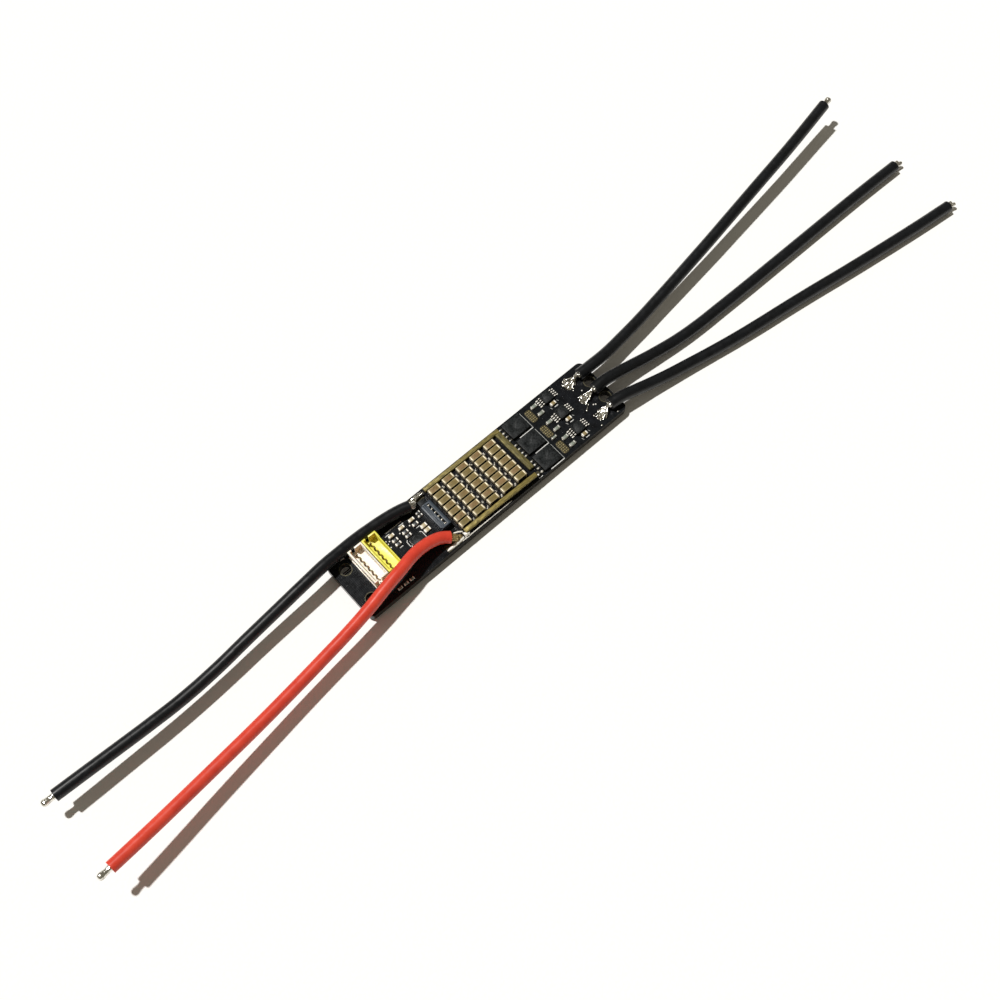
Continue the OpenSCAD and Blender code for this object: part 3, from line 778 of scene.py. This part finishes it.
def add_socket(colour, node, contacts):
    """Open-topped housing: flange at its foot, waisted sides, keying notches and six contacts."""
    low, high = span(node)
    wall, floor = 0.45, low.z + 1.2
    notch = (low.x + high.x) / 2 - 0.55
    bm, cut = bmesh.new(), bmesh.new()
    block(bm, low, high, bevel=0)
    block(cut, (low.x + wall, low.y + wall, floor), (high.x - 0.38, high.y - wall, high.z + 1), bevel=0)
    block(cut, (notch - 0.5, low.y - 1, floor), (notch + 0.5, high.y + 1, high.z + 1), bevel=0)
    block(cut, (high.x - 0.12, low.y - 1, low.z + 0.4), (high.x + 1, high.y - 2, high.z + 1), bevel=0)
    block(cut, (low.x - 1, low.y - 1, low.z + 0.55), (low.x + 0.16, high.y + 1, high.z - 0.9), bevel=0)
    for x in (low.x + 1.3, high.x - 0.9):
        block(cut, (x, low.y - 1, low.z - 1), (x + 0.5, low.y + 0.12, high.z - 1.4), bevel=0)
    revolve(cut, (notch + 0.02, low.y + 0.22, floor - 0.5), [(0.16, 0), (0.16, 0.6)], 16)
    carved(f"housing_{colour}", bm, cut, SOCKET[colour], [node], bevel=0.07)
    pins = bmesh.new()
    for box in solids(contacts):
        place, half = middle(box), (box[1] - box[0]) / 2
        block(pins, box[0], box[1] - Vector((0.12, 0, 0.25)), bevel=0.05)
        left, right, tip = place.x - half.x, place.x + half.x, box[1].z
        outline = [(left, tip - 0.5), (right, tip - 0.5), (right - 0.1, tip - 0.1), (place.x, tip),
                   (left, tip - 0.1)]
        prism(pins, outline, place.y - half.y * 0.8, place.y + half.y * 0.8, axis="Y")
    finish_mesh(f"contacts_{colour}", pins, CONTACT, [contacts])


def add_header():
    """Low ribbed connector with a slot for its pins beside a narrow rail."""
    low, high = span("programming_header")
    slot_low, slot_high = high.x - 1.4, high.x - 0.8
    bm, cut = bmesh.new(), bmesh.new()
    block(bm, low, high, bevel=0)
    block(cut, (slot_low, low.y + 0.5, low.z + 0.6), (slot_high, high.y - 0.5, high.z + 1), bevel=0)
    for x in (low.x + 0.45, low.x + 1.0):
        block(cut, (x, low.y + 0.3, high.z - 0.25), (x + 0.2, high.y - 0.3, high.z + 1), bevel=0)
    for y in (low.y - 1, high.y - 0.35):
        block(cut, (low.x - 1, y, high.z - 0.5), (low.x + 0.3, y + 1.35, high.z + 1), bevel=0)
    carved("ribbed_header", bm, cut, HEADER, ["programming_header"], bevel=0.09)
    pins = bmesh.new()
    for box in solids("header_pins"):
        block(pins, box[0] - Vector((0.1, 0, 0)), box[1] + Vector((0.1, 0, -0.2)), bevel=0.06)
        dome(pins, middle(box).x, middle(box).y, box[1].z - 0.3, 0.19, 0.3)
    finish_mesh("header_contacts", pins, TIN, ["header_pins"])


# ---- chips ----

def package(name, node, dimple=0.3, corner=(-1, 1), draft=0.08):
    """Moulded body with drafted sides, softened edges and a round mark near its first lead."""
    low, high = span(node)
    top = high.z if "low_side" not in node else low.z
    bm, cut = bmesh.new(), bmesh.new()
    block(bm, low, high, bevel=0, draft=draft)
    if dimple:
        x = (low.x + high.x) / 2 + corner[0] * ((high.x - low.x) / 2 - dimple - 0.4)
        y = (low.y + high.y) / 2 + corner[1] * ((high.y - low.y) / 2 - dimple - 0.4)
        revolve(cut, (x, y, top - 0.05), [(dimple, 0), (dimple, 0.12)], 32)
    carved(name, bm, cut, CHIP, [node], bevel=0.05)


def add_chips():
    """Transistors, drivers, microcontroller, diode and regulator."""
    for n in (1, 2, 3):
        package(f"moulded_high_side_{n}", f"high_side_mosfet_{n}", 0.75, (-0.45, 0))
        package(f"moulded_low_side_{n}", f"low_side_mosfet_{n}", 0.35, draft=0.0)
        package(f"moulded_driver_{n}", f"gate_driver_{n}", 0.25)
    package("moulded_microcontroller", "microcontroller", 0.18)
    package("moulded_diode", "transient_diode", 0)
    package("moulded_regulator", "voltage_regulator", 0.3, draft=0.0)


def gull_wing(bm, x, y, out, reach, drop):
    """Bent chip lead on the top face: level at its shoulder, down at drop of its reach, flat at its toe."""
    width, thick, shoulder = 0.2, 0.14, 0.62
    top = [(-0.1, shoulder), ((drop - 0.1) * reach, shoulder), (drop * reach, thick + 0.02),
           (reach, thick)]
    outline = [(x + out * u, TOP + h) for u, h in top]
    outline += [(x + out * u, TOP + h - thick) for u, h in reversed(top)]
    prism(bm, outline, y - width / 2, y + width / 2, axis="Y")


def add_lead_frames():
    """Metal leads of the drivers, transistors and regulator, with their solder."""
    bm, drops, toe_solder_and_highlights = bmesh.new(), bmesh.new(), bmesh.new()
    for n in (1, 2, 3):
        low, high = span(f"gate_driver_{n}")
        for k in range(4):
            y = (low.y + high.y) / 2 + (k - 1.5) * 0.65
            gull_wing(bm, low.x, y, -1, 1.25, 0.5)
            gull_wing(bm, high.x, y, 1, 1.5, 0.62)
            # White tin blocks on each lead's shoulder are painted highlights where the bends catch the
            # light; those at its toe are its solder.
            for x0, x1, half, z0, z1, bevel in (
                    (low.x - 0.45, low.x - 0.02, 0.13, 0.5, 0.64, 0.05),
                    (low.x - 1.3, low.x - 0.62, 0.15, 0, 0.22, 0.06),
                    (high.x + 0.28, high.x + 0.72, 0.14, 0.46, 0.64, 0.06),
                    (high.x + 1.1, high.x + 1.5, 0.14, 0, 0.22, 0.06)):
                block(toe_solder_and_highlights, (x0, y - half, TOP + z0), (x1, y + half, TOP + z1), bevel=bevel)
    finish_mesh("driver_leads", bm, DARK_TIN, ["gate_driver_leads"])
    bm = bmesh.new()
    for box in solids("mosfet_leads"):
        block(bm, box[0], box[1], bevel=0.05)
        if box[1].x - box[0].x < 1.5:
            place = middle(box)
            out_of = TOP if place.z > TOP else UNDER
            spot = (box[0].x + random.uniform(0.3, 0.5), place.y + random.uniform(-0.12, 0.12), out_of)
            bulge(toe_solder_and_highlights, spot, (random.uniform(0.24, 0.42), random.uniform(0.2, 0.34), 0.52))
    finish_mesh("transistor_leads", bm, DARK_TIN, ["mosfet_leads"])
    finish_mesh("toe_solder_and_shoulder_highlights", toe_solder_and_highlights, WHITE_TIN)
    bm = bmesh.new()
    for box in solids("regulator_leads"):
        block(bm, box[0], box[1], bevel=0.08)
    finish_mesh("regulator_legs", bm, TIN, ["regulator_leads"])
    low, high = span("microcontroller")
    for k in range(7):
        for x, y, size in ((low.x, 0, (0.16, 0.1)), (high.x, 0, (0.16, 0.1)), (0, low.y, (0.1, 0.16)),
                           (0, high.y, (0.1, 0.16))):
            place = Vector((x or (low.x + high.x) / 2 + (k - 3) * 0.4,
                            y or (low.y + high.y) / 2 + (k - 3) * 0.4, TOP))
            bulge(drops, place, (size[0], size[1], 0.2))
    finish_mesh("lead_solder", drops, WHITE_TIN, smooth_deg=60)


def add_small_parts():
    """Chip capacitors and resistors with their metal ends and solder."""
    drops, ends = bmesh.new(), bmesh.new()
    bm = bmesh.new()
    for low, high in solids("chip_capacitors"):
        block(bm, low - Vector((0.05, 0, 0)), high + Vector((0.05, 0, 0)), bevel=0.06,
              material=int(low.x > 0))
    finish_mesh("small_capacitors", bm, [PALE_CERAMIC, DARK_CERAMIC], ["chip_capacitors"])
    bm = bmesh.new()
    for low, high in solids("chip_resistors"):
        side = Vector((0.05, 0, 0))
        block(bm, low - side, high + side - Vector((0, 0, 0.2)), bevel=0.03, material=1)
        block(bm, (low.x - 0.02, low.y + 0.05, high.z - 0.22),
              (high.x + 0.02, high.y - 0.05, high.z - 0.08),
              bevel=0.04, material=2 if low.x > 0 or low.y < -6 else 0)
    finish_mesh("small_resistors", bm, [RESISTOR, ALUMINA, PALE_RESISTOR],
                ["chip_resistors"])
    stage_resistors = [middle(box) for box in solids("chip_resistors") if box[0].x > 0]
    for low, high in solids("chip_ends"):
        place = middle((low, high))
        dull = any((place - other).length < 1 for other in stage_resistors)
        block(ends, low, high, bevel=0.09, segments=3, material=int(dull))
        for x in (low.x, high.x):
            bulge(drops, (x, place.y, TOP + 0.02), (0.08, (high.y - low.y) * 0.42, 0.16))
    finish_mesh("small_ends", ends, [WHITE_TIN, GREY_TIN], ["chip_ends"])
    finish_mesh("small_solder", drops, TIN, smooth_deg=60)


# ---- boards ----

# Copper under the mask: route, step to the next track, number of tracks and width
TOP_TRACKS = (
    ([(-27.7, -3.6), (-25.4, -3.6), (-24.2, -2.4)], (0, 0.5), 4, 0.2),
    ([(-27.7, 6.6), (-26.2, 6.6), (-25.6, 6.0), (-16.8, 6.0)], (0, 0.45), 3, 0.2),
    ([(-40.4, -3.2), (-38.6, -1.6), (-36.9, -1.6)], (0, 0.6), 5, 0.22),
    ([(-27.5, -6.1), (-16.5, -6.1)], (0, -0.4), 6, 0.18),
    ([(31.6, 7.8), (32.4, 7.0), (32.4, 3.4), (31.8, 2.8)], (0.35, 0), 3, 0.2),
    ([(31.6, 1.8), (32.4, 1.0), (32.4, -2.6), (31.8, -3.2)], (0.35, 0), 3, 0.2),
    ([(31.8, -4.2), (32.6, -5.0), (32.6, -8.0)], (0.35, 0), 3, 0.2),
    ([(20.8, 2.9), (27.2, 2.9), (28.0, 2.4)], (0, -0.4), 3, 0.2),
    ([(20.8, -3.0), (21.4, -3.5), (26.6, -3.5), (27.4, -3.0)], (0, -0.4), 2, 0.2),
)
UNDER_TRACKS = (
    ([(-39.5, 5.2), (-33, 5.2), (-30.5, 7.2), (10, 7.2), (13, 4.6)], (0, -0.5), 5, 0.24),
    ([(-39.5, -5.4), (-33, -5.4), (-30.5, -7.4), (10, -7.4), (13, -4.8)], (0, 0.5), 5, 0.24),
    ([(-29.6, -2.0), (-20, -2.0), (-18, 0), (12.4, 0)], (0, 0.5), 6, 0.24),
    ([(21, 6.8), (24, 6.8), (26, 5.2), (33, 5.2)], (0, -0.5), 4, 0.24),
    ([(21, -7.0), (24, -7.0), (26, -5.4), (33, -5.4)], (0, 0.5), 4, 0.24),
)
# White legend: routes of (x, y) points
LEGEND = (
    [(-25.6, 5.6), (-20.7, 5.6)], [(-26.3, 4.95), (-25.0, 4.95)], [(-22.0, 4.95), (-20.6, 4.95)],
    [(-25.4, 0.4), (-24.4, 0.4)], [(-19.1, 1.7), (-18.1, 1.7)],
    [(-22.8, 0.75), (-23.2, 0.4), (-23.2, -1.1)], [(-22.8, -1.0), (-23.1, -1.7)],
    [(-19.5, 0.55), (-18.9, 0.4), (-18.7, 0.0), (-18.7, -1.6)],
    [(11.4, -6.05), (13.1, -6.05)], [(12.1, -8.55), (13.2, -8.55)], [(-38.2, 7.5), (-37.0, 7.5)],
)


def add_boards():
    """Main board and capacitor board as they are in CAD, with tracks, legend, vias and pads on them."""
    for node, material in (("main_board", MASK), ("capacitor_board", BANK_MASK), ("supply_pads", PAD)):
        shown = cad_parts[node]
        shown.data.materials.clear()
        shown.data.materials.append(material)
    bm = bmesh.new()
    for tracks, level in ((TOP_TRACKS, TOP - SUNK), (UNDER_TRACKS, UNDER + SUNK - TRACK_RISE)):
        for route, (dx, dy), count, width in tracks:
            for k in range(count):
                ribbon(bm, [(x + dx * k, y + dy * k) for x, y in route], width, level, TRACK_RISE)
    finish_mesh("covered_tracks", bm, MASK)
    bm, thin = bmesh.new(), bmesh.new()
    for route in LEGEND:
        ribbon(bm, route, 0.17, TOP - SUNK, PRINT_RISE)
    for n in (1, 2, 3):
        low, high = span(f"high_side_mosfet_{n}")
        foot, side = low.y - 0.45, high.x + 0.42
        ribbon(bm, [(15.95, foot), (side, foot)], 0.2, TOP - SUNK, PRINT_RISE)
        ribbon(thin, [(side, foot), (side, high.y - 0.2)], 0.12, TOP - SUNK, PRINT_RISE)
        low, high = span(f"gate_driver_{n}")
        ribbon(bm, [(28.3, low.y - 1.75), (29.4, low.y - 1.75)], 0.2, TOP - SUNK, PRINT_RISE)
        ribbon(thin, [(27.3, low.y - 1.2), (27.5, low.y - 1.8)], 0.16, TOP - SUNK, PRINT_RISE)
        ribbon(thin, [(30.0, low.y - 0.5), (30.3, low.y - 1.0)], 0.12, TOP - SUNK, PRINT_RISE)
    finish_mesh("legend", bm, INK)
    finish_mesh("faint_legend", thin, FAINT_INK)
    bm = bmesh.new()
    hole_x = (BOARD[0].x + 3.3, BOARD[1].x - 2.2)
    for x, half_pitch in zip(hole_x, (4.9, 2.9)):
        for y in (-half_pitch, half_pitch):
            for low, high in ((UNDER - 0.03, UNDER + SUNK), (TOP - SUNK, TOP + 0.02)):
                washer(bm, x, y, low, high, 1.64, 1.455, 48)
    finish_mesh("hole_rings", bm, DULL_COPPER)
    vias, dots = bmesh.new(), bmesh.new()
    for i in range(12):
        for j in range(4):
            x, y = -26.6 + 0.8 * i + 0.4 * (j % 2), -6.3 - 0.62 * j
            washer(vias, x, y, TOP - SUNK, TOP + 0.05, 0.24, 0.1, 12)
    finish_mesh("small_vias", vias, MASK)
    for x, y in ((-26.2, 3.4), (-23.0, 3.3), (-19.9, 3.3), (-13.1, 4.6), (36.6, 2.3), (36.5, -2.9),
                 (-26.9, 3.9), (-26.9, 3.0), (-26.9, 1.9), (39.2, -8.1), (36.0, -2.6)):
        dome(dots, x, y, TOP - SUNK, 0.2, 0.14)
    dome(dots, 12.2, -8.0, BANK_TOP - SUNK, 0.26, 0.16)
    finish_mesh("test_points", dots, WHITE_TIN, smooth_deg=60)
    bm = bmesh.new()
    block(bm, (11.95, -8.0, BANK_TOP - 0.02), (12.85, -7.1, BANK_TOP + 0.03), bevel=0)
    finish_mesh("corner_pad", bm, PAD)


def add_phase_pads():
    """Gold-plated pads with round corners, each pierced by a grid of small vias."""
    bm, cut, rings = bmesh.new(), bmesh.new(), bmesh.new()
    for low, high in solids("phase_pads"):
        prism(bm, rounded(low, high, 0.7), low.z, high.z)
        centre = middle((low, high))
        for i in range(3):
            for j in range(6):
                x, y = centre.x + (i - 1) * 0.56, centre.y + (j - 2.5) * 0.58
                revolve(cut, (x + 0.1, y - 0.24, high.z - 0.06), [(0.12, 0), (0.12, 0.3)], 12)
                dome(rings, x, y, high.z - 0.02, 0.17, 0.07, 12)
    carved("pierced_pads", bm, cut, PAD, ["phase_pads"], bevel=0.03)
    finish_mesh("via_beads", rings, PAD_RING)


def add_floor():
    """A plain white ground, which isn't part of the object."""
    bpy.ops.mesh.primitive_plane_add(size=4)
    floor = bpy.context.object
    floor.name = "floor"
    floor.data.materials.append(paper_floor())


# ---- the materials and the pieces ----

SOLDER = solder_metal()
# Dull solder of the capacitor feet, darkened further as painted shade in the lanes between capacitors.
DULL_SHADED_SOLDER = tin_plate("dull_shaded_solder", (46, 42, 36), (120, 112, 96), 0.7)
SILICONE = {"black": silicone("silicone_black", (17, 20, 24), (11, 13, 16)),
            "red": silicone("silicone_red", (222, 74, 54), (206, 62, 46))}
TIN = tin_plate("tin", (206, 198, 178), (246, 240, 226), 0.5)
WHITE_TIN = tin_plate("white_tin", (226, 222, 212), (250, 248, 240), 0.15)
GREY_TIN = tin_plate("grey_tin", (120, 120, 114), (206, 206, 198), 0.4)
DARK_TIN = tin_plate("dark_tin", (58, 56, 50), (120, 116, 104), 0.7)
CREAM = tin_plate("cream_tin", (176, 164, 134), (226, 216, 190), 0.25)
GOLDEN = tin_plate("golden_solder", (112, 92, 50), (206, 184, 130), 0.6)
CERAMIC = ceramic()
PALE_CERAMIC = film("pale_ceramic", (206, 192, 156))
DARK_CERAMIC = film("dark_ceramic", (158, 140, 96))
MASK = board_mask("board_black", (16, 18, 21))
BANK_MASK = board_mask("bank_black", (10, 11, 16))
BAR_ALONG = brushed_brass("bar_brass", (132, 120, 70), (0.12, 1, 1))
# BAR_SUNNY is the same brass a little lighter and yellower: painted light on the positive bar.
BAR_SUNNY = brushed_brass("bar_brass_sunny", (136, 122, 66), (0.12, 1, 1))
BAR_ACROSS = brushed_brass("bar_brass_across", (104, 96, 56), (1, 0.12, 1))
PAD = brushed_brass("pad_gold", (66, 60, 38))
PAD_RING = brushed_brass("via_gold", (166, 152, 108))
DULL_COPPER = brushed_brass("covered_copper", (84, 80, 60))
# The last numbers of each socket are its painted shade on the walls that look along -Y.
SOCKET = {"white": moulding("socket_white", (252, 244, 228), 0.36, 0.25, (0.9, 0.76, 0.6)),
          "yellow": moulding("socket_yellow", (240, 234, 84), 0.36, 0.2, (0.95, 0.82, 0.9))}
CONTACT = brushed_brass("contact_gold", (120, 96, 60), (1, 1, 0.2))
HEADER = moulding("header_black", (46, 58, 70), 0.4)
CHIP = epoxy()
RESISTOR = film("resistor_grey", (62, 66, 68))
PALE_RESISTOR = film("resistor_pale", (142, 150, 138))
ALUMINA = film("alumina", (214, 212, 204))
INK = ink("printed_white", (150, 152, 150), (246, 246, 242))
FAINT_INK = ink("printed_grey", (96, 98, 98), (190, 192, 188))

add_camera()
add_leads()
add_lights()
add_floor()
add_boards()
add_phase_pads()
add_bank()
add_bars()
add_socket("white", "signal_socket", "signal_contacts")
add_socket("yellow", "telemetry_socket", "telemetry_contacts")
add_header()
add_chips()
add_lead_frames()
add_small_parts()
add_joints()
